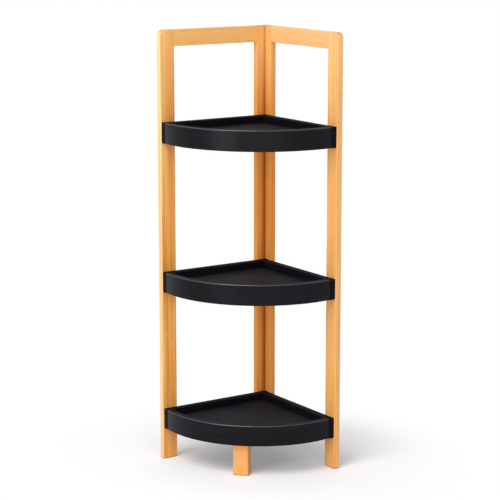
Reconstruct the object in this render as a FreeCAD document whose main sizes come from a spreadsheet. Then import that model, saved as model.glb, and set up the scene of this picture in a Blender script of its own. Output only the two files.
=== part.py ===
import FreeCAD, Part
import Sketcher
import os
import re

# A three-tier corner shelf. Two flat frames of bamboo stand at right angles along two walls and meet
# in a long mitre at the rear corner. Each frame is a front post, a rear post and a top rail, joined
# with dowels. Three quarter-round trays of black-stained wood hang between the frames on screws, and
# a short leg carries the front of the bottom tray.
#
# The origin is on the floor, where the two walls meet. The right-hand frame runs along +X against
# the wall at y = 0, and the left-hand frame runs along -Y against the wall at x = 0. All lengths are
# millimetres. A place beside a wall is given by three distances: along the wall out of the corner,
# out from the wall into the room, and up from the floor.

DRIVING_SIZES = (
    ("FrameHeight", 800, "floor to the top of the rails"),
    ("FrameDepth", 240, "corner to the front of a frame, along the wall"),
    ("PostWidth", 30, "width of a post's broad face"),
    ("PostThickness", 12, "thickness of the posts and rails"),
    ("RailHeight", 30, "height of a top rail"),
    ("CornerRound", 10, "radius of a front post's top corner"),
    ("FrameEase", 1.5, "rounding of the frames' long edges"),
    ("DowelChamfer", 0.8, "chamfer at a dowel's ends"),
    ("SlipGap", 0.15, "clearance round dowels, screws and board edges"),
    ("TrayInset", 2, "the trays end this far behind the frames' fronts"),
    ("BottomTrayHeight", 60, "floor to the bottom tray"),
    ("TopTrayDrop", 204, "top of the frames down to the underside of the top tray"),
    ("MiddleTrayShare", 0.485, "middle tray's place between the bottom tray and the top one"),
    ("RimHeight", 38, "height of a tray's rims"),
    ("RimThickness", 12, "thickness of the straight rims"),
    ("CurvedRimThickness", 12, "thickness of the curved rim"),
    ("FrontRise", 76, "how far the curved rim swells from the line between its ends"),
    ("RimEase", 1.5, "rounding of the rims' long edges"),
    ("BoardThickness", 9, "thickness of a tray's board"),
    ("GrooveDepth", 4, "how deep the board's groove is cut into the rims"),
    ("LegWidth", 28, "side of the square front leg"),
    ("LegEase", 2, "rounding of the leg's upright edges"),
    ("LegScrewBite", 22, "how far a leg screw reaches into the leg"),
    ("ScrewShank", 4, "diameter of a screw's shank"),
    ("ScrewHead", 8, "diameter of a countersunk head"),
    ("ScrewHeadDepth", 2.6, "depth of a countersunk head"),
    ("ScrewPoint", 4, "length of a screw's tapered point"),
    ("ScrewSink", 0.3, "heads sit this far below the surface"),
    ("SocketWidth", 2.5, "hexagon socket, across its flats"),
    ("SocketDepth", 1.8, "depth of the hexagon socket"),
    ("CutOverrun", 5, "how far a cut runs past the surface it starts from"),
)

DERIVED_SIZES = (
    ("RailLow", "FrameHeight - RailHeight", "floor to the underside of a rail"),
    ("RailStart", "PostWidth", "corner to the rear end of a rail, along the wall"),
    ("RailEnd", "FrameDepth - PostWidth", "corner to the front end of a rail, along the wall"),
    ("DowelDiameter", "PostThickness / 2", "a dowel is half as thick as the wood"),
    ("DowelLength", "PostWidth", "a dowel reaches halfway through the post"),
    ("TopTrayHeight", "FrameHeight - TopTrayDrop", "floor to the top tray"),
    ("MiddleTrayHeight", "BottomTrayHeight + (TopTrayHeight - BottomTrayHeight) * MiddleTrayShare",
     "floor to the middle tray"),
    ("RimInner", "PostThickness + RimThickness", "wall to the inner face of a straight rim"),
    ("RimEnd", "FrameDepth - TrayInset", "corner to the front of a straight rim, along the wall"),
    ("BoardLow", "(RimHeight - BoardThickness) / 2", "rim's lower edge to the board's underside"),
    ("GrooveHeight", "BoardThickness + SlipGap", "height of the board's groove"),
    ("GrooveBottom", "RimInner - GrooveDepth", "wall to the bottom of the groove"),
    ("BoardEdge", "GrooveBottom + SlipGap", "wall to the board's straight edges"),
    ("HalfChord", "(RimEnd - RimInner) / sqrt(2)", "half the line between the curve's ends"),
    ("CurveRadius", "(HalfChord ^ 2 + FrontRise ^ 2) / (2 * FrontRise)", "curved rim's outer radius"),
    ("CurveCrest", "(RimInner + RimEnd) / sqrt(2) + FrontRise", "corner to the curve's crest"),
    ("CurveCentre", "(CurveCrest - CurveRadius) / sqrt(2)", "curve's centre, off each wall"),
    ("InnerRadius", "CurveRadius - CurvedRimThickness", "curved rim's inner radius"),
    ("GrooveRadius", "InnerRadius + GrooveDepth", "radius of the curved rim's groove"),
    ("BoardRadius", "GrooveRadius - SlipGap", "radius of the board's curved edge"),
    ("GrooveEnd", "CurveCentre + sqrt(GrooveRadius ^ 2 - (RimInner - CurveCentre) ^ 2)",
     "corner to the front end of a straight rim's groove"),
    ("LegFront", "CurveCentre * sqrt(2) + sqrt(InnerRadius ^ 2 - (LegWidth / 2) ^ 2) - SlipGap",
     "corner to the leg's front face"),
    ("LegPlace", "(LegFront - LegWidth / 2) / sqrt(2)", "leg's axis, off each wall"),
    ("LegHeight", "BottomTrayHeight + BoardLow", "floor to the underside of the bottom board"),
    ("LegScrewStep", "LegWidth * sqrt(2) / 4", "leg screws stand halfway out to the leg's corners"),
    ("LegScrewLength", "BoardThickness + LegScrewBite - ScrewSink", "from the board into the leg"),
    ("TrayScrewLength", "PostThickness + RimThickness / 2", "from a post halfway into a rim"),
    ("FrontScrewPlace", "FrameDepth - PostWidth / 2", "corner to the front screws, along the wall"),
    ("RearScrewPlace", "PostThickness + RimThickness / 2", "corner to the rear screws, likewise"),
    ("LowScrewRow", "BoardLow / 2", "rim's lower edge to the left-hand screws"),
    ("HighScrewRow", "RimHeight - BoardLow / 2", "rim's lower edge to the right-hand screws"),
)

SIDES = ("left", "right")
WALL_PLANES = {"left": "YZ_Plane", "right": "XZ_Plane"}
TRAY_HEIGHTS = {
    "bottom": "BottomTrayHeight",
    "middle": "MiddleTrayHeight",
    "top": "TopTrayHeight",
}
SCREW_ROWS = {"left": "LowScrewRow", "right": "HighScrewRow"}
SCREW_PLACES = ("FrontScrewPlace", "RearScrewPlace")

# Turned pieces are drawn upright. These turns lay one along a wall, or point it head first at a wall.
X_AXIS = FreeCAD.Vector(1, 0, 0)
Y_AXIS = FreeCAD.Vector(0, 1, 0)
Z_AXIS = FreeCAD.Vector(0, 0, 1)
UPRIGHT = FreeCAD.Rotation()
ALONG_WALL = {"left": FreeCAD.Rotation(X_AXIS, 90), "right": FreeCAD.Rotation(Y_AXIS, 90)}
HEAD_TO_WALL = {"left": FreeCAD.Rotation(Y_AXIS, -90), "right": FreeCAD.Rotation(X_AXIS, -90)}
ACROSS_CORNER = FreeCAD.Rotation(Z_AXIS, -45)

PICK_TOLERANCE = 0.001

doc = FreeCAD.newDocument("corner_shelf")
sheet = doc.addObject("Spreadsheet::Sheet", "Sizes")
nodes = []


def fill_sheet():
    """Writes the driving sizes as plain numbers and the derived ones as formulas, each with an alias."""
    rows = [(alias, str(number), meaning) for alias, number, meaning in DRIVING_SIZES]
    rows += [(alias, f"={text}", meaning) for alias, text, meaning in DERIVED_SIZES]
    for row, (alias, content, meaning) in enumerate(rows, start=1):
        sheet.set(f"A{row}", meaning)
        sheet.set(f"B{row}", content)
        sheet.setAlias(f"B{row}", alias)
    doc.recompute()


def formula(text):
    """A formula in the sheet's aliases, as the other objects of the document read it."""
    return re.sub(r"[A-Z]\w+", r"Sizes.\g<0>", text)


def value(text):
    """The present value of a formula in the sheet's aliases."""
    return float(sheet.evalExpression(text))


def minus(text):
    return text if text == "0" else f"-({text})"


def on_wall(side, along, up):
    """A point of a wall's sketch plane."""
    return (minus(along), up) if side == "left" else (along, up)


def on_plan(side, along, out):
    """A point of the plan, beside one of the walls."""
    return (out, minus(along)) if side == "left" else (along, minus(out))


def rectangle(low, high, near, far):
    """The corners of a rectangle, in order."""
    return [(low, near), (high, near), (high, far), (low, far)]


def bind(thing, path, text):
    thing.setExpression(path, formula(text))


def place(thing, point, up="0", turn=UPRIGHT):
    """Turns a thing and puts its own origin over a point of the plan."""
    thing.Placement = FreeCAD.Placement(FreeCAD.Vector(), turn)
    for axis, text in zip("xyz", (*point, up)):
        bind(thing, f"Placement.Base.{axis}", text)
    return thing


def add(kind, name, **settings):
    thing = doc.addObject(kind, name)
    for key, setting in settings.items():
        setattr(thing, key, setting)
    return thing


def sketch_in(body, role="XY_Plane", lift="0"):
    """An empty sketch on one of the body's own origin planes, lifted off it by a formula."""
    sketch = body.newObject("Sketcher::SketchObject", "Outline")
    planes = body.Origin.OriginFeatures
    sketch.AttachmentSupport = [(next(plane for plane in planes if plane.Role == role), "")]
    sketch.MapMode = "FlatFace"
    bind(sketch, "AttachmentOffset.Base.z", lift)
    return sketch


def pin(sketch, geometry, point, across=None, up=None):
    """Holds a point of the sketch at the formulas given for its coordinates."""
    for kind, axis, text in (("DistanceX", -2, across), ("DistanceY", -1, up)):
        if text == "0":
            sketch.addConstraint(Sketcher.Constraint("PointOnObject", geometry, point, axis))
        elif text:
            distance = Sketcher.Constraint(kind, -1, 1, geometry, point, value(text))
            bind(sketch, f"Constraints[{sketch.addConstraint(distance)}]", text)


def draw_outline(sketch, corners):
    """Straight lines through corners given as pairs of formulas, closed."""
    points = [FreeCAD.Vector(value(across), value(up), 0) for across, up in corners]
    lines = [
        sketch.addGeometry(Part.LineSegment(start, end), False)
        for start, end in zip(points, points[1:] + points[:1])
    ]
    for line, before, (across, up) in zip(lines, lines[-1:] + lines[:-1], corners):
        sketch.addConstraint(Sketcher.Constraint("Coincident", before, 2, line, 1))
        pin(sketch, line, 1, across, up)
    return sketch


def set_circle(sketch, curve, radius):
    """Centres a circle or an arc on the trays' front curve and ties its radius to a formula."""
    pin(sketch, curve, 3, "CurveCentre", "-CurveCentre")
    size = Sketcher.Constraint("Radius", curve, value(radius))
    bind(sketch, f"Constraints[{sketch.addConstraint(size)}]", radius)


def draw_front_curve(sketch, radius, side_line):
    """An arc of the tray's front curve, from one wall's side line to the other's."""
    size = value(radius)
    centre = FreeCAD.Vector(value("CurveCentre"), -value("CurveCentre"), 0)
    reach = centre.x + (size ** 2 - (value(side_line) - centre.x) ** 2) ** 0.5
    left_end = FreeCAD.Vector(value(side_line), -reach, 0)
    right_end = FreeCAD.Vector(reach, -value(side_line), 0)
    crest = centre + (X_AXIS - Y_AXIS).normalize() * size
    arc = sketch.addGeometry(Part.Arc(left_end, crest, right_end), False)
    set_circle(sketch, arc, radius)
    pin(sketch, arc, 1, across=side_line)
    pin(sketch, arc, 2, up=minus(side_line))
    return arc, left_end, right_end


def draw_line(sketch, start, start_joint, end, end_joint):
    """A line between two points, each held on an end of a piece of geometry."""
    line = sketch.addGeometry(Part.LineSegment(start, end), False)
    for point, joint in enumerate((start_joint, end_joint), start=1):
        if joint:
            sketch.addConstraint(Sketcher.Constraint("Coincident", *joint, line, point))
    return line


def pad(body, sketch, length):
    feature = body.newObject("PartDesign::Pad", "Pad")
    feature.Profile = sketch
    bind(feature, "Length", length)
    doc.recompute()


def pocket(body, sketch, length):
    """Cuts down from a sketch, and makes sure that something was cut."""
    before = body.Shape.Volume
    feature = body.newObject("PartDesign::Pocket", "Pocket")
    feature.Profile = sketch
    bind(feature, "Length", length)
    doc.recompute()
    if not body.Shape.Volume < before:
        raise RuntimeError(f"a pocket of {body.Label} cuts nothing")


def ease(body, radius, chosen):
    """Rounds those edges of the body's last feature for which chosen(edge's bounding box) is true."""
    base = body.Tip
    names = [f"Edge{n}" for n, edge in enumerate(base.Shape.Edges, start=1) if chosen(edge.BoundBox)]
    if not names:
        raise RuntimeError(f"no edge of {body.Label} to round")
    fillet = body.newObject("PartDesign::Fillet", "Ease")
    fillet.Base = (base, names)
    bind(fillet, "Radius", radius)
    doc.recompute()


def spans(side, box):
    """A box's ends along a wall, out from it and up."""
    if side == "left":
        return (-box.YMax, -box.YMin), (box.XMin, box.XMax), (box.ZMin, box.ZMax)
    return (box.XMin, box.XMax), (-box.YMax, -box.YMin), (box.ZMin, box.ZMax)


def is_long(span):
    return span[1] - span[0] > PICK_TOLERANCE


def is_at(span, *texts):
    """Whether a span is a single place, and one of those given."""
    return any(
        max(abs(end - value(text)) for end in span) < PICK_TOLERANCE
        for text in texts
    )


def runs_up(side, box, along):
    """Whether an edge stands upright on a broad face, at a place along the wall."""
    length, depth, height = spans(side, box)
    return is_long(height) and is_at(length, along) and is_at(depth, "0", "PostThickness")


def runs_out(side, box, along, up):
    """Whether an edge crosses the wood's thickness at a place along the wall and a height."""
    length, depth, height = spans(side, box)
    return is_long(depth) and is_at(length, along) and is_at(height, up)


def runs_along(side, box, *heights):
    """Whether an edge is level and follows the wall at one of the heights given."""
    length, depth, height = spans(side, box)
    return is_long(length) and not is_long(depth) and is_at(height, *heights)


def blank(name):
    return add("PartDesign::Body", f"{name}_blank")


def node(thing, label):
    """Names a finished sub-part. Its file gets the same name."""
    thing.Label = label
    nodes.append(thing)
    return thing


def drilled(label, base, holes):
    """The finished sub-part: a blank less its holes."""
    tool = add("Part::Compound", f"{label}_holes", Links=holes)
    return node(add("Part::Cut", label, Base=base, Tool=tool, Refine=True), label)


def pad_on_wall(side, body, outline):
    """Adds an outline drawn on the wall, as thick as the posts and rails."""
    corners = [on_wall(side, *corner) for corner in outline]
    pad(body, draw_outline(sketch_in(body, WALL_PLANES[side]), corners), "PostThickness")


def front_post(side):
    """A full-height post with a rounded top corner."""
    body = blank(f"{side}_front_post")
    outline = rectangle("RailEnd", "FrameDepth", "0", "FrameHeight")
    pad_on_wall(side, body, outline)
    ease(body, "FrameEase", lambda box: runs_up(side, box, along="RailEnd"))
    pad_on_wall(side, body, rectangle("RailEnd", "RailEnd + FrameEase", "RailLow", "FrameHeight"))
    ease(body, "CornerRound", lambda box: runs_out(side, box, along="FrameDepth", up="FrameHeight"))
    ease(body, "FrameEase", lambda box: runs_up(side, box, along="FrameDepth"))
    return body


def rear_post(side):
    """A full-height post whose rear side is cut to a mitre."""
    body = blank(f"{side}_rear_post")
    plan = [("0", "0"), ("RailStart", "0"), ("RailStart", "PostThickness")]
    plan.append(("PostThickness", "PostThickness"))
    outline = draw_outline(sketch_in(body), [on_plan(side, *corner) for corner in plan])
    pad(body, outline, "FrameHeight")
    ease(body, "FrameEase", lambda box: runs_up(side, box, along="RailStart"))
    pad_on_wall(side, body, rectangle("RailStart - FrameEase", "RailStart", "RailLow", "FrameHeight"))
    ease(body, "FrameEase", lambda box: runs_along(side, box, "FrameHeight"))
    return body


def top_rail(side):
    """A rail between the heads of the two posts."""
    body = blank(f"{side}_top_rail")
    pad_on_wall(side, body, rectangle("RailStart", "RailEnd", "RailLow", "FrameHeight"))
    ease(body, "FrameEase", lambda box: runs_along(side, box, "RailLow", "FrameHeight"))
    return body


def turned(name, profile):
    """A round piece, upright, from half of its profile: pairs of a radius and a height."""
    body = add("PartDesign::Body", name)
    outline = draw_outline(sketch_in(body, "XZ_Plane"), profile)
    turn = body.newObject("PartDesign::Revolution", "Turn")
    turn.Profile = outline
    turn.ReferenceAxis = (outline, ["V_Axis"])
    doc.recompute()
    return body


def rail_joints(side):
    """The dowels of one frame, two at either end of its rail, and the holes that they sit in."""
    dowels, holes = [], []
    radius, chamfer, length = "DowelDiameter / 2", "DowelChamfer", "DowelLength"
    profile = [
        ("0", "0"),
        (f"{radius} - {chamfer}", "0"),
        (radius, chamfer),
        (radius, f"{length} - {chamfer}"),
        (f"{radius} - {chamfer}", length),
        ("0", length),
    ]
    for joint in ("RailStart", "RailEnd"):
        for row in ("RailLow + RailHeight / 4", "FrameHeight - RailHeight / 4"):
            dowel = turned(f"{side}_dowel", profile)
            start = on_plan(side, f"{joint} - DowelLength / 2", "PostThickness / 2")
            dowels.append(place(dowel, start, row, ALONG_WALL[side]))
            hole = add("Part::Cylinder", f"{side}_dowel_hole")
            bind(hole, "Radius", "DowelDiameter / 2 + SlipGap")
            bind(hole, "Height", "DowelLength + SlipGap * 2")
            start = on_plan(side, f"{joint} - DowelLength / 2 - SlipGap", "PostThickness / 2")
            holes.append(place(hole, start, row, ALONG_WALL[side]))
    return dowels, holes


def screw(name, length):
    """A countersunk wood screw with a hexagon socket, upright, its point at the origin."""
    shank, head = "ScrewShank / 2", "ScrewHead / 2"
    body = turned(name, [
        ("0", "0"),
        (shank, "ScrewPoint"),
        (shank, f"{length} - ScrewHeadDepth"),
        (head, length),
        ("0", length),
    ])
    corner, flat = "SocketWidth / sqrt(3)", "SocketWidth / 2"
    hexagon = [
        (corner, "0"),
        (f"{corner} / 2", flat),
        (f"-{corner} / 2", flat),
        (f"-{corner}", "0"),
        (f"-{corner} / 2", f"-{flat}"),
        (f"{corner} / 2", f"-{flat}"),
    ]
    pocket(body, draw_outline(sketch_in(body, lift=length), hexagon), "SocketDepth")
    return body


def screw_hole(name, length):
    """What is drilled and countersunk for such a screw, out past the surface that it enters."""
    shank, head = "ScrewShank / 2 + SlipGap", "ScrewHead / 2 + SlipGap"
    return turned(name, [
        ("0", "-SlipGap"),
        (shank, "-SlipGap"),
        (shank, f"{length} - ScrewHeadDepth"),
        (head, length),
        (head, f"{length} + ScrewSink + CutOverrun"),
        ("0", f"{length} + ScrewSink + CutOverrun"),
    ])


def tray_fixings(tray):
    """The four screws of a tray, and the holes for them by the side that they enter from."""
    screws, holes = [], {}
    for side in SIDES:
        height = f"{TRAY_HEIGHTS[tray]} + {SCREW_ROWS[side]}"
        for along in SCREW_PLACES:
            tip = on_plan(side, along, "TrayScrewLength + ScrewSink")
            fixing = screw(f"{tray}_tray_screw", "TrayScrewLength")
            hole = screw_hole(f"{tray}_tray_screw_hole", "TrayScrewLength")
            screws.append(place(fixing, tip, height, HEAD_TO_WALL[side]))
            holes.setdefault(side, []).append(place(hole, tip, height, HEAD_TO_WALL[side]))
    return screws, holes


def leg_fixings():
    """The two screws from the bottom board down into the leg, and their holes."""
    screws, holes = [], []
    height = "LegHeight + BoardThickness - ScrewSink - LegScrewLength"
    for step in ("- LegScrewStep", "+ LegScrewStep"):
        tip = (f"LegPlace {step}", "-LegPlace")
        screws.append(place(screw("leg_screw", "LegScrewLength"), tip, height))
        holes.append(place(screw_hole("leg_screw_hole", "LegScrewLength"), tip, height))
    return screws, holes


def straight_rim(side, tray, start):
    """A rim beside a post frame, with a groove for the board that stops short of its front end."""
    body = blank(f"{tray}_{side}_rim")
    plan = rectangle(start, "RimEnd", "PostThickness", "RimInner")
    pad(body, draw_outline(sketch_in(body), [on_plan(side, *corner) for corner in plan]), "RimHeight")
    ease(body, "RimEase", lambda box: runs_along(side, box, "0", "RimHeight"))
    groove = rectangle("GrooveBottom", "GrooveEnd", "GrooveBottom", "RimInner")
    sketch = sketch_in(body, lift="BoardLow + GrooveHeight")
    pocket(body, draw_outline(sketch, [on_plan(side, *corner) for corner in groove]), "GrooveHeight")
    return place(body, ("0", "0"), TRAY_HEIGHTS[tray])


def curved_rim(tray):
    """The bent front rim. Its ends stand against the inner faces of the straight rims."""
    body = blank(f"{tray}_curved_rim")
    sketch = sketch_in(body)
    outer, outer_left, outer_right = draw_front_curve(sketch, "CurveRadius", "RimInner")
    inner, inner_left, inner_right = draw_front_curve(sketch, "InnerRadius", "RimInner")
    draw_line(sketch, outer_left, (outer, 1), inner_left, (inner, 1))
    draw_line(sketch, outer_right, (outer, 2), inner_right, (inner, 2))
    pad(body, sketch, "RimHeight")
    ease(body, "RimEase", lambda box: is_long((box.XMin, box.XMax)) and is_long((box.YMin, box.YMax)))
    sketch = sketch_in(body, lift="BoardLow + GrooveHeight")
    middle = FreeCAD.Vector(value("CurveCentre"), -value("CurveCentre"), 0)
    disc = sketch.addGeometry(Part.Circle(middle, Z_AXIS, value("GrooveRadius")), False)
    set_circle(sketch, disc, "GrooveRadius")
    pocket(body, sketch, "GrooveHeight")
    return place(body, ("0", "0"), TRAY_HEIGHTS[tray])


def board(tray):
    """A tray's board. It rests on the lower faces of the rims' grooves."""
    body = blank(f"{tray}_tray_board")
    sketch = sketch_in(body)
    front, left_end, right_end = draw_front_curve(sketch, "BoardRadius", "BoardEdge")
    corner = FreeCAD.Vector(value("BoardEdge"), -value("BoardEdge"), 0)
    edge = draw_line(sketch, right_end, (front, 2), corner, None)
    draw_line(sketch, corner, (edge, 2), left_end, (front, 1))
    pin(sketch, edge, 2, "BoardEdge", "-BoardEdge")
    pad(body, sketch, "BoardThickness")
    return place(body, ("0", "0"), f"{TRAY_HEIGHTS[tray]} + BoardLow")


def leg():
    """A square leg behind the crest of the bottom tray's curved rim."""
    body = blank("centre_leg")
    half = "LegWidth / 2"
    corners = rectangle(f"-{half}", half, f"-{half}", half)
    pad(body, draw_outline(sketch_in(body), corners), "LegHeight")
    ease(body, "LegEase", lambda box: is_long((box.ZMin, box.ZMax)))
    return place(body, ("LegPlace", "-LegPlace"), turn=ACROSS_CORNER)


def build():
    fill_sheet()
    frame_holes = {side: [] for side in SIDES}
    for side in SIDES:
        dowels, holes = rail_joints(side)
        node(add("Part::Compound", "dowels", Links=dowels), f"{side}_frame_dowels")
        frame_holes[side] += holes

    leg_screws, leg_holes = leg_fixings()
    node(add("Part::Compound", "screws", Links=leg_screws), "leg_screws")
    drilled("centre_leg", leg(), leg_holes)

    for tray in TRAY_HEIGHTS:
        screws, holes = tray_fixings(tray)
        node(add("Part::Compound", "screws", Links=screws), f"{tray}_tray_screws")
        all_holes = holes["left"] + holes["right"]
        drilled(f"{tray}_left_rim", straight_rim("left", tray, "PostThickness"), all_holes)
        drilled(f"{tray}_right_rim", straight_rim("right", tray, "RimInner"), all_holes)
        node(curved_rim(tray), f"{tray}_curved_rim")
        if tray == "bottom":
            drilled("bottom_tray_board", board(tray), leg_holes)
        else:
            node(board(tray), f"{tray}_tray_board")
        for side in SIDES:
            frame_holes[side] += holes[side]

    for side in SIDES:
        drilled(f"{side}_front_post", front_post(side), frame_holes[side])
        drilled(f"{side}_rear_post", rear_post(side), frame_holes[side])
        drilled(f"{side}_top_rail", top_rail(side), frame_holes[side])


def check():
    """Stops the build if anything in the document failed or a sub-part has no sound shape."""
    doc.recompute()
    failed = [thing.Label for thing in doc.Objects if {"Invalid", "Error"} & set(thing.State)]
    failed += [
        thing.Label
        for thing in nodes
        if thing.Shape.isNull() or not thing.Shape.isValid() or not thing.Shape.Solids
    ]
    if failed:
        raise RuntimeError(f"failed: {', '.join(failed)}")


def write_parts():
    os.makedirs("parts", exist_ok=True)
    for thing in nodes:
        thing.Shape.exportStep(f"parts/{thing.Label}.step")
        shape = thing.Shape
        print(f"{thing.Label}: {len(shape.Solids)} solids, {shape.Volume:.1f} mm3")


build()
check()
write_parts()
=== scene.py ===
import math
from collections import namedtuple

import bpy
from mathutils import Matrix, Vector

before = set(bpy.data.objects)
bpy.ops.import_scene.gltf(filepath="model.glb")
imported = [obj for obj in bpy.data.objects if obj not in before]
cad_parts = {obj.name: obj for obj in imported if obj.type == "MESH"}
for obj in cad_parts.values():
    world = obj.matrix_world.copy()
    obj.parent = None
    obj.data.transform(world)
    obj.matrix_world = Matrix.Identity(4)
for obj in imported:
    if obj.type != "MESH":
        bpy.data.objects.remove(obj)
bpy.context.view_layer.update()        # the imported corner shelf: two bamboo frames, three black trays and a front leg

MILLIMETRES = 1000.0     # in a metre
ALONG_X = (1.0, 0.0, 0.0)
ALONG_Y = (0.0, 1.0, 0.0)
ALONG_Z = (0.0, 0.0, 1.0)
WHITE = (1.0, 1.0, 1.0, 1.0)

# Sizes of the part, in millimetres
CURVE_CENTRE = 51.35
CURVE_RADIUS = 188.64
POST_THICKNESS = 12.0
POST_HEIGHT = 800.0

# A pattern: its width across the grain and length along it, in millimetres, and how fine and rough it is
Pattern = namedtuple("Pattern", "width length detail roughness", defaults=(0.55,))

# Bamboo: strips glued side by side, each with its own tone and knuckles and with its fibres slid along
STRIP_WIDTH = 7.5
STRIP_SPREAD = 0.5
STRIP_SLIDE = 900.0
GLUE_LINE_SHARE = 0.035
BANDS = Pattern(width=3.4, length=260.0, detail=2.0)
LINES = Pattern(width=1.8, length=240.0, detail=1.0)
FIBRES = Pattern(width=0.55, length=48.0, detail=4.0, roughness=0.65)
HAIRS = Pattern(width=0.16, length=14.0, detail=2.0)
WAVES = Pattern(width=2.0, length=30.0, detail=3.0)
WAVE_HEIGHT = 3.0
KNUCKLE_SPACING = 235.0
KNUCKLE_CORE = 0.54
KNUCKLE_WIDTH = 1.8
KNUCKLE_HALO = 9.0
BUNDLE_WIDTH = 0.75
BUNDLE_LENGTH = 50.0

# How dark every strip is at least, and how much paler the bamboo is painted at the top, as the light falling there
TONE_BASE = 0.1
TOP_LIGHT_SHARE = 0.12

# Where the bamboo's painted lighter top starts, its painted corner shade and its dark mitre line, and its dark foot, in
# millimetres
TOP_LIGHT_START = 592.0
CORNER_SHADE_START = 2.0
MITRE_START = 0.5
MITRE_END = 2.4
FOOT_START = 0.5
FOOT_END = 4.0

# Black wood, the dowels' beech, and how much finer the steel's turning marks are than its smudges
STREAKS = Pattern(width=1.6, length=130.0, detail=4.0, roughness=0.6)
PORES = Pattern(width=0.35, length=22.0, detail=3.0, roughness=0.6)
CLOUDS = Pattern(width=26.0, length=160.0, detail=2.0)
BEECH_GRAIN = Pattern(width=0.8, length=6.0, detail=3.0)
TURNING_FINENESS = 6.0


def linear(red, green, blue):
    """A screen colour from 0 to 255 as the linear colour that a shader takes."""
    shares = [value / 255 for value in (red, green, blue)]
    return tuple(s / 12.92 if s <= 0.04045 else ((s + 0.055) / 1.055) ** 2.4 for s in shares) + (1.0,)


# Colours of bamboo
PALE = linear(246, 195, 112)
HONEY = linear(226, 154, 66)
AMBER = linear(200, 116, 32)
BROWN = linear(146, 76, 20)
ORANGE = linear(220, 132, 44)
WARM = linear(230, 136, 54)
# RUSSET is the painted shade low down; CREAM the painted light at the top, the painted sheen on narrow sides and the
# paler tone of whole pieces
RUSSET = linear(240, 142, 48)
CREAM = linear(255, 226, 186)
CORNER_SHADE_BROWN = linear(150, 66, 6)
MITRE_BROWN = linear(104, 44, 2)
END_GRAIN = linear(214, 150, 82)
END_DOTS = linear(128, 76, 34)

# Colours of black wood
BLUISH = linear(17, 18, 32)
PORE_BLACK = linear(4, 4, 5)
# a painted highlight for the rounded upper edges of the black wood
EDGE_HIGHLIGHT_GREY = linear(62, 58, 58)


def add(tree, kind, links=None, **settings):
    """Adds one shader node, with its settings and what goes into its sockets."""
    node = tree.nodes.new(kind)
    for name, value in settings.items():
        setattr(node, name, value)
    for key, source in (links or {}).items():
        socket = node.inputs[key]
        if isinstance(source, bpy.types.NodeSocket):
            tree.links.new(source, socket)
        else:
            socket.default_value = source
    return node


def calc(tree, operation, *values):
    """One step of arithmetic."""
    return add(tree, "ShaderNodeMath", dict(enumerate(values)), operation=operation).outputs[0]


def raised(tree, base, value, share):
    """A base with a share of a value added; a share below 0 lowers it."""
    return calc(tree, "MULTIPLY_ADD", value, share, base)


def hypotenuse(tree, first, second):
    """The length of a level line from its two parts."""
    squares = [calc(tree, "MULTIPLY", part, part) for part in (first, second)]
    return calc(tree, "SQRT", calc(tree, "ADD", *squares))


def span(tree, value, start, end, low=0.0, high=1.0):
    """Maps a value smoothly from one range to another."""
    node = add(
        tree, "ShaderNodeMapRange",
        {0: value, 1: start, 2: end, 3: low, 4: high},
        interpolation_type="SMOOTHSTEP",
    )
    return node.outputs[0]


def fade(tree, value, start, end, share=1.0):
    """Falls smoothly from a share to 0 over a range."""
    return span(tree, value, start, end, low=share, high=0.0)


def blend(tree, share, low, high):
    """Mixes two colours."""
    return add(tree, "ShaderNodeMix", {0: share, 6: low, 7: high}, data_type="RGBA").outputs[2]


def lay(tree, base, over, mask, share):
    """Lays one colour over another where a mask is 1, as strongly as the share says."""
    return blend(tree, calc(tree, "MULTIPLY", mask, share), base, over)


def millimetres(tree):
    """The surface point's x, y and z in millimetres."""
    point = add(tree, "ShaderNodeTexCoord").outputs["Object"]
    factors = (MILLIMETRES, MILLIMETRES, MILLIMETRES)
    scaled = add(tree, "ShaderNodeVectorMath", {0: point, 1: factors}, operation="MULTIPLY")
    parts = add(tree, "ShaderNodeSeparateXYZ", {0: scaled.outputs[0]})
    return tuple(parts.outputs)


def noise(tree, place, detail, roughness=0.55):
    """Noise at a place that is already scaled, from about 0 to 1."""
    sockets = {"Vector": place, "Scale": 1.0, "Detail": detail, "Roughness": roughness}
    return add(tree, "ShaderNodeTexNoise", sockets).outputs["Fac"]


def stretched(tree, place, width, length):
    """A place across, through and along the grain, scaled for marks of this width and length."""
    parts = [calc(tree, "DIVIDE", part, size) for part, size in zip(place, (width, width, length))]
    return add(tree, "ShaderNodeCombineXYZ", dict(enumerate(parts))).outputs[0]


def drawn(tree, place, pattern):
    """One of the patterns above, drawn out along the grain."""
    scaled = stretched(tree, place, pattern.width, pattern.length)
    return noise(tree, scaled, pattern.detail, pattern.roughness)


def turned(tree, first, second):
    """Two level directions turned by an eighth of a turn, as the front leg's sides are."""
    half = math.sqrt(0.5)
    plus = calc(tree, "MULTIPLY", calc(tree, "ADD", first, second), half)
    less = calc(tree, "MULTIPLY", calc(tree, "SUBTRACT", first, second), half)
    return plus, less


def facing(tree, axis, start=0.75, end=0.95, both_ways=True):
    """Goes from 0 to 1 where the surface comes to face along an axis, also the other way if asked."""
    normal = add(tree, "ShaderNodeNewGeometry").outputs["Normal"]
    share = add(tree, "ShaderNodeVectorMath", {0: normal, 1: axis}, operation="DOT_PRODUCT").outputs["Value"]
    if both_ways:
        share = calc(tree, "ABSOLUTE", share)
    return span(tree, share, start, end)


def new_material(name):
    """A node material, its nodes and its principled shader."""
    material = bpy.data.materials.new(name)
    material.use_nodes = True
    return material, material.node_tree, material.node_tree.nodes["Principled BSDF"]


def finish(tree, shader, colour, roughness, relief, strength, depth):
    """Gives a shader its colour, its roughness and a fine relief, with the depth in millimetres."""
    sockets = {"Strength": strength, "Distance": depth / MILLIMETRES, "Height": relief}
    bump = add(tree, "ShaderNodeBump", sockets)
    tree.links.new(colour, shader.inputs["Base Color"])
    tree.links.new(roughness, shader.inputs["Roughness"])
    tree.links.new(bump.outputs[0], shader.inputs["Normal"])


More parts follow.
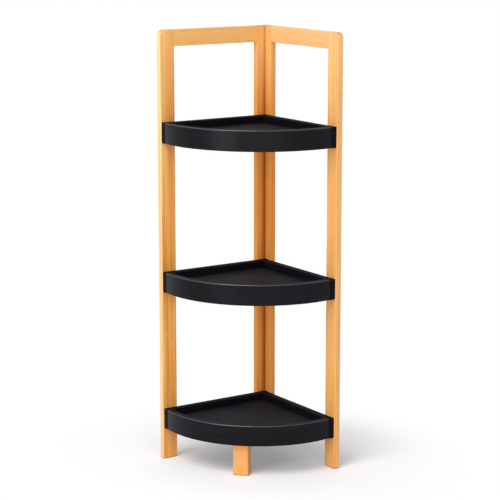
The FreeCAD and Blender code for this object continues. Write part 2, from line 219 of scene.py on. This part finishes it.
def bamboo_grain(tree, grain, x, y, z):
    """The places across, through and along the grain, the grain's axis and that of the narrow sides."""
    if grain == "leg":
        return turned(tree, x, y) + (z, ALONG_Z, None)
    return {
        "right_post": (x, y, z, ALONG_Z, ALONG_X),
        "left_post": (y, x, z, ALONG_Z, ALONG_Y),
        "right_rail": (z, y, x, ALONG_X, ALONG_Z),
        "left_rail": (z, x, y, ALONG_Y, ALONG_Z),
    }[grain]


def strips(tree, across, seed, strips_at):
    """Three values from 0 to 1 that differ from strip to strip, and the glue lines between the strips."""
    shifted = calc(tree, "DIVIDE", calc(tree, "ADD", across, strips_at), STRIP_WIDTH)
    sockets = {"W": calc(tree, "ADD", shifted, seed), "Scale": 1.0, "Randomness": STRIP_SPREAD}
    strip, edge = (
        add(tree, "ShaderNodeTexVoronoi", sockets, voronoi_dimensions="1D", feature=feature)
        for feature in ("F1", "DISTANCE_TO_EDGE")
    )
    dice = add(tree, "ShaderNodeSeparateColor", {0: strip.outputs["Color"]})
    seam = fade(tree, edge.outputs["Distance"], start=0.0, end=GLUE_LINE_SHARE)
    return dice.outputs[0], dice.outputs[1], dice.outputs[2], seam


def knuckles(tree, place):
    """The thin wavy lines across the strips, and the wider bands around them."""
    wave = calc(tree, "MULTIPLY", drawn(tree, place, WAVES), WAVE_HEIGHT)
    turn = calc(tree, "DIVIDE", calc(tree, "ADD", place[2], wave), KNUCKLE_SPACING)
    offset = calc(tree, "ABSOLUTE", calc(tree, "SUBTRACT", calc(tree, "FRACT", turn), 0.5))
    reach = calc(tree, "MULTIPLY", offset, KNUCKLE_SPACING)
    return fade(tree, reach, KNUCKLE_CORE, KNUCKLE_WIDTH), fade(tree, reach, KNUCKLE_WIDTH, KNUCKLE_HALO)


def paint_corner_shade(tree, colour, x, y, upper, share, width):
    """Paints shade into the inner corner of the rear posts, and darkens most the joint line where they meet; both less
    at the top.
    """
    gap = hypotenuse(tree, calc(tree, "SUBTRACT", x, POST_THICKNESS), calc(tree, "ADD", y, POST_THICKNESS))
    # painted shade: brown laid into the corner, weaker at the top where more light falls
    corner = fade(tree, gap, CORNER_SHADE_START, width, share)
    colour = lay(tree, colour, CORNER_SHADE_BROWN, corner, raised(tree, 1.0, upper, share=-0.8))
    mitre = fade(tree, gap, MITRE_START, MITRE_END, share=0.6)
    return lay(tree, colour, MITRE_BROWN, mitre, raised(tree, 1.0, upper, share=-0.3))


def end_grain(tree, place):
    """The colour of cut ends, with the dots of the fibre bundles."""
    sockets = {"Vector": stretched(tree, place, BUNDLE_WIDTH, BUNDLE_LENGTH), "Scale": 1.0}
    dots = add(tree, "ShaderNodeTexVoronoi", sockets, feature="F1").outputs["Distance"]
    return lay(tree, END_GRAIN, END_DOTS, fade(tree, dots, start=0.15, end=0.42), share=0.6)


def bamboo(name, grain, seed, strips_at=0.0, tone_shift=0.0, line_share=0.6, pale_share=0.0,
           side_sheen_share=0.0, deep_shade_share=0.0, deep_shade_from=0.0, deep_shade_to=1.0, corner_shade_share=0.0, corner_shade_width=1.0):
    """Laminated bamboo under a clear satin lacquer.

    grain names which way the strips run and lie, seed picks their tones, strips_at moves them across in
    millimetres, and tone_shift darkens them. Of the shares, line is how strong the orange lines are, pale how
    much paler the whole piece is, side_sheen how much paler its narrow sides are, for their edge grain and as a
    painted sheen, deep_shade how much warmer the wood is painted low down as shade, fading between two heights,
    and corner_shade how much painted shade darkens it near the corner where the two rear posts meet.
    """
    material, tree, shader = new_material(name)
    x, y, z = millimetres(tree)
    across, through, along, grain_axis, side_axis = bamboo_grain(tree, grain, x, y, z)
    tone, slide, warmth, seam = strips(tree, across, seed, strips_at)
    place = (across, through, raised(tree, along, slide, share=STRIP_SLIDE))
    bands, lines, fibres, hairs = (drawn(tree, place, pattern) for pattern in (BANDS, LINES, FIBRES, HAIRS))
    knuckle, halo = knuckles(tree, place)
    # how far up into the painted lighter top; the painted corner shade and the orange lines weaken there
    upper = span(tree, z, TOP_LIGHT_START, POST_HEIGHT)

    # The wood's own marks, with weaker orange lines at the top
    shade = raised(tree, raised(tree, TONE_BASE + tone_shift, bands, share=0.75), tone, share=0.32)
    colour = blend(tree, span(tree, shade, start=0.25, end=1.05), PALE, HONEY)
    line_shares = raised(tree, line_share, upper, share=-0.6 * line_share)
    colour = lay(tree, colour, ORANGE, span(tree, lines, start=0.45, end=0.62), line_shares)
    colour = lay(tree, colour, AMBER, span(tree, fibres, start=0.42, end=0.78), share=0.4)
    colour = lay(tree, colour, BROWN, span(tree, hairs, start=0.55, end=0.8), share=0.25)
    colour = lay(tree, colour, WARM, warmth, share=0.16)
    colour = lay(tree, colour, PALE, halo, share=0.18)
    colour = lay(tree, colour, BROWN, knuckle, share=0.16)
    colour = lay(tree, colour, BROWN, seam, share=0.22)

    # Painted light and shade: paler at the top where more light falls and on narrow sides as a painted sheen, warmer
    # low down and darker in the corner as painted shade; darker also at the foot and on ends
    colour = blend(tree, raised(tree, pale_share, upper, TOP_LIGHT_SHARE), colour, CREAM)
    # painted sheen: the narrow sides paler, for their edge grain and for the light they catch
    if side_sheen_share:
        colour = lay(tree, colour, CREAM, facing(tree, side_axis), side_sheen_share)
    # painted shade: a deeper, warmer tone low down, as the bamboo looks in shade
    if deep_shade_share:
        colour = blend(tree, fade(tree, z, deep_shade_from, deep_shade_to, deep_shade_share), colour, RUSSET)
    # painted shade in the inner corner of the rear posts
    if corner_shade_share:
        colour = paint_corner_shade(tree, colour, x, y, upper, corner_shade_share, corner_shade_width)
    if grain_axis == ALONG_Z:
        colour = blend(tree, fade(tree, z, FOOT_START, FOOT_END, share=0.5), colour, BROWN)
    ends = end_grain(tree, (across, through, along))
    colour = lay(tree, colour, ends, facing(tree, grain_axis), share=0.85)

    relief = raised(tree, 0.0, seam, share=-0.9)
    relief = raised(tree, relief, hairs, share=0.3)
    relief = raised(tree, relief, fibres, share=0.55)
    relief = raised(tree, relief, knuckle, share=0.6)
    roughness = raised(tree, 0.33, fibres, share=0.16)
    finish(tree, shader, colour, roughness, relief, strength=0.35, depth=0.12)
    shader.inputs["Specular IOR Level"].default_value = 0.25
    shader.inputs["Coat Weight"].default_value = 0.1
    shader.inputs["Coat Roughness"].default_value = 0.25
    return material


def black_grain(tree, grain, x, y, z):
    """The places across, through and along the grain of a curved rim, a straight rim or a board."""
    if grain == "curve":
        from_x = calc(tree, "SUBTRACT", x, CURVE_CENTRE)
        from_y = calc(tree, "ADD", y, CURVE_CENTRE)
        around = calc(tree, "ARCTAN2", from_y, from_x)
        return z, hypotenuse(tree, from_x, from_y), calc(tree, "MULTIPLY", around, CURVE_RADIUS)
    if grain == "board":
        along, across = turned(tree, x, y)
        return across, z, along
    return {"right_rim": (z, y, x), "left_rim": (z, x, y)}[grain]


def black_wood(name, grain, specular, roughness=0.16, edge_gloss=0.35, deep=linear(11, 11, 14),
               worn=linear(28, 28, 35)):
    """Black stained wood under a satin lacquer, with faint long streaks and glossier upper edges lightened as a painted
    highlight.

    grain names which way the wood runs, specular and roughness are those of the lacquer, edge_gloss is the
    extra gloss of the rounded upper edges, and deep and worn are the stain's darkest and lightest colours.
    """
    material, tree, shader = new_material(name)
    place = black_grain(tree, grain, *millimetres(tree))
    streaks, pores, clouds = (drawn(tree, place, pattern) for pattern in (STREAKS, PORES, CLOUDS))
    top = facing(tree, ALONG_Z)
    rounding = facing(tree, ALONG_Z, start=0.06, end=0.2, both_ways=False)
    edge = calc(tree, "MULTIPLY", rounding, calc(tree, "SUBTRACT", 1.0, top))

    colour = blend(tree, span(tree, streaks, start=0.3, end=0.75), deep, worn)
    colour = lay(tree, colour, BLUISH, span(tree, clouds, start=0.4, end=0.7), share=0.35)
    colour = lay(tree, colour, PORE_BLACK, span(tree, pores, start=0.58, end=0.8), share=0.6)
    # painted highlight: the rounded upper edges made a little lighter, for the light they catch
    colour = lay(tree, colour, EDGE_HIGHLIGHT_GREY, edge, share=0.1)
    matt = raised(tree, raised(tree, roughness, streaks, share=0.2), top, share=0.4)
    relief = raised(tree, raised(tree, 0.0, streaks, share=0.8), pores, share=0.6)
    finish(tree, shader, colour, matt, relief, strength=0.3, depth=0.15)
    tree.links.new(calc(tree, "MULTIPLY", edge, edge_gloss), shader.inputs["Coat Weight"])
    shader.inputs["Specular IOR Level"].default_value = specular
    shader.inputs["Coat Roughness"].default_value = 0.2
    shader.inputs["Coat IOR"].default_value = 1.65
    return material


def beech(name):
    """The plain pale wood of the dowels."""
    material, tree, shader = new_material(name)
    x, y, z = millimetres(tree)
    grain = drawn(tree, (z, x, y), BEECH_GRAIN)
    darker = span(tree, grain, start=0.3, end=0.7)
    colour = blend(tree, darker, linear(226, 190, 142), linear(196, 152, 104))
    finish(tree, shader, colour, raised(tree, 0.5, grain, share=0.2), grain, strength=0.3, depth=0.1)
    return material


def steel(name):
    """Bright zinc-plated steel with fine turning marks and a little handling."""
    material, tree, shader = new_material(name)
    place = add(tree, "ShaderNodeCombineXYZ", dict(enumerate(millimetres(tree)))).outputs[0]
    smudges = noise(tree, place, detail=3.0)
    factors = (TURNING_FINENESS, TURNING_FINENESS, TURNING_FINENESS)
    fine = add(tree, "ShaderNodeVectorMath", {0: place, 1: factors}, operation="MULTIPLY").outputs[0]
    marks = noise(tree, fine, detail=2.0)
    dulled = span(tree, smudges, start=0.35, end=0.7)
    colour = blend(tree, dulled, linear(196, 198, 200), linear(160, 161, 160))
    finish(tree, shader, colour, raised(tree, 0.2, smudges, share=0.25), marks, strength=0.25, depth=0.05)
    shader.inputs["Metallic"].default_value = 1.0
    return material


def dress(node, material):
    """Gives a node of the part its material."""
    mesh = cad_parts[node].data
    mesh.materials.clear()
    mesh.materials.append(material)


# The frames and the leg
dress("right_front_post", bamboo(
    "bamboo_right_front", "right_post", seed=403.0, pale_share=0.06, side_sheen_share=0.1,
))
dress("left_front_post", bamboo(
    "bamboo_left_front", "left_post", seed=411.0, tone_shift=-0.1, line_share=1.0, side_sheen_share=0.4,
    deep_shade_share=0.15, deep_shade_to=560.0,
))
dress("right_rear_post", bamboo(
    "bamboo_right_rear", "right_post", seed=403.0, deep_shade_share=0.4, deep_shade_from=600.0, deep_shade_to=750.0,
    corner_shade_share=0.25, corner_shade_width=8.0,
))
dress("left_rear_post", bamboo(
    "bamboo_left_rear", "left_post", seed=411.0, deep_shade_share=0.42, deep_shade_from=600.0, deep_shade_to=750.0,
    corner_shade_share=0.62, corner_shade_width=13.0,
))
dress("right_top_rail", bamboo(
    "bamboo_right_rail", "right_rail", seed=723.0, strips_at=-2.0, tone_shift=0.15, pale_share=0.12,
    side_sheen_share=0.2,
))
dress("left_top_rail", bamboo("bamboo_left_rail", "left_rail", seed=437.0, strips_at=-2.0, side_sheen_share=0.2))
dress("centre_leg", bamboo(
    "bamboo_leg", "leg", seed=51.0, strips_at=2.0, tone_shift=0.4, line_share=0.35, pale_share=0.12,
))

# The trays
curve = black_wood("black_wood_curved", "curve", specular=0.12, roughness=0.22, edge_gloss=1.0,
                   deep=linear(5, 5, 7), worn=linear(18, 18, 24))
right_rim = black_wood("black_wood_right", "right_rim", specular=0.02, edge_gloss=0.1)
left_rim = black_wood("black_wood_left", "left_rim", specular=0.02, edge_gloss=0.1)
board = black_wood("black_wood_board", "board", specular=0.04,
                   deep=linear(28, 25, 28), worn=linear(46, 43, 46))
screw = steel("screw_steel_bright")
for tray in ("bottom", "middle", "top"):
    dress(f"{tray}_curved_rim", curve)
    dress(f"{tray}_right_rim", right_rim)
    dress(f"{tray}_left_rim", left_rim)
    dress(f"{tray}_tray_board", board)
    dress(f"{tray}_tray_screws", screw)
dress("leg_screws", screw)

# The dowels
dowel = beech("dowel_beech")
dress("left_frame_dowels", dowel)
dress("right_frame_dowels", dowel)

# The floor: its radius is in metres, and its centre's distance from each wall and its fade are in millimetres
FLOOR_RADIUS = 9.0
FLOOR_RINGS = 48
FLOOR_SIDES = 96
FLOOR_CENTRE = 120.0
FADE_START = 150.0
FADE_END = 430.0
FLOOR_COLOUR = linear(250, 249, 251)
FLOOR_LIFT = 0.14
LIFT_COLOUR = (1.0, 0.99, 1.0, 1.0)


def floor_mesh():
    """A wide round floor, made of rings."""
    middle = FLOOR_CENTRE / MILLIMETRES
    points = [(middle, -middle, 0.0)]
    faces = []
    for ring in range(1, FLOOR_RINGS + 1):
        radius = FLOOR_RADIUS * (ring / FLOOR_RINGS) ** 2
        for side in range(FLOOR_SIDES):
            turn = 2 * math.pi * side / FLOOR_SIDES
            points.append((middle + radius * math.cos(turn), -middle + radius * math.sin(turn), 0.0))
    for side in range(FLOOR_SIDES):
        following = (side + 1) % FLOOR_SIDES
        faces.append((0, 1 + side, 1 + following))
        for ring in range(FLOOR_RINGS - 1):
            low = 1 + ring * FLOOR_SIDES
            high = low + FLOOR_SIDES
            faces.append((low + side, high + side, high + following, low + following))
    mesh = bpy.data.meshes.new("floor")
    mesh.from_pydata(points, [], faces)
    mesh.update()
    return mesh


def seen_rays(tree):
    """1 for the rays that show the background: the camera's, and those in gloss and glass."""
    path = add(tree, "ShaderNodeLightPath")
    shown = calc(tree, "MAXIMUM", path.outputs["Is Camera Ray"], path.outputs["Is Glossy Ray"])
    return calc(tree, "MAXIMUM", shown, path.outputs["Is Transmission Ray"])


def floor_material():
    """A pale matt floor that keeps the shadows near the shelf and turns into the white background."""
    material, tree, shader = new_material("floor_pale")
    shader.inputs["Base Color"].default_value = FLOOR_COLOUR
    shader.inputs["Roughness"].default_value = 1.0
    shader.inputs["Specular IOR Level"].default_value = 0.0
    x, y, z = millimetres(tree)
    away = hypotenuse(tree, calc(tree, "SUBTRACT", x, FLOOR_CENTRE), calc(tree, "ADD", y, FLOOR_CENTRE))
    seen = seen_rays(tree)
    lifting = calc(tree, "MULTIPLY", seen, FLOOR_LIFT)
    lift = add(tree, "ShaderNodeEmission", {"Color": LIFT_COLOUR, "Strength": lifting})
    near = add(tree, "ShaderNodeAddShader", {0: shader.outputs[0], 1: lift.outputs[0]})
    white = add(tree, "ShaderNodeEmission", {"Color": WHITE, "Strength": 1.0})
    share = calc(tree, "MULTIPLY", span(tree, away, FADE_START, FADE_END), seen)
    mixed = add(tree, "ShaderNodeMixShader", {0: share, 1: near.outputs[0], 2: white.outputs[0]})
    tree.links.new(mixed.outputs[0], tree.nodes["Material Output"].inputs["Surface"])
    return material


floor = bpy.data.objects.new("floor", floor_mesh())
bpy.context.scene.collection.objects.link(floor)
floor.data.materials.append(floor_material())

# The surround: white where it is seen, and a weaker even light elsewhere
SURROUND_STRENGTH = 0.42
world = bpy.data.worlds.new("surround")
world.use_nodes = True
bpy.context.scene.world = world
sky = world.node_tree
background = sky.nodes["Background"]
background.inputs["Color"].default_value = WHITE
strength = add(sky, "ShaderNodeMapRange", {0: seen_rays(sky), 3: SURROUND_STRENGTH, 4: 1.0})
sky.links.new(strength.outputs[0], background.inputs["Strength"])

LOOKED_AT = Vector((0.1, -0.1, 0.4))


def lamp(name, towards, distance, width, height, power):
    """A soft lamp that faces the shelf."""
    data = bpy.data.lights.new(name, "AREA")
    data.shape = "RECTANGLE"
    data.size = width
    data.size_y = height
    data.energy = power
    lit = bpy.data.objects.new(name, data)
    direction = Vector(towards).normalized()
    lit.location = LOOKED_AT + direction * distance
    lit.rotation_euler = (-direction).to_track_quat("-Z", "Y").to_euler()
    bpy.context.scene.collection.objects.link(lit)


# Three broad soft lamps: high on the front left, low on the front left, and low in front
lamp("key_lamp", towards=(0.40, -0.88, 1.15), distance=3.2, width=1.8, height=1.8, power=54.0)
lamp("strip_lamp", towards=(0.30, -0.95, 0.14), distance=2.8, width=1.3, height=1.6, power=24.0)
lamp("front_lamp", towards=(0.90, -0.45, 0.25), distance=3.0, width=2.6, height=2.2, power=22.0)

# The camera: in front of the shelf and above its top, with its angles in degrees
FOCAL_PIXELS = 1800.0
PICTURE_PIXELS = 500.0
SENSOR_WIDTH = 36.0
CAMERA_PLACE = (2.795, -1.902, 1.033)
CAMERA_DOWN = 11.08
CAMERA_TURN = 56.30
camera_data = bpy.data.cameras.new("camera")
camera_data.sensor_width = SENSOR_WIDTH
camera_data.lens = FOCAL_PIXELS / PICTURE_PIXELS * SENSOR_WIDTH
camera = bpy.data.objects.new("camera", camera_data)
camera.location = CAMERA_PLACE
camera.rotation_euler = (math.radians(90.0 - CAMERA_DOWN), 0.0, math.radians(CAMERA_TURN))
bpy.context.scene.collection.objects.link(camera)
bpy.context.scene.camera = camera
bpy.context.scene.view_settings.view_transform = "Standard"
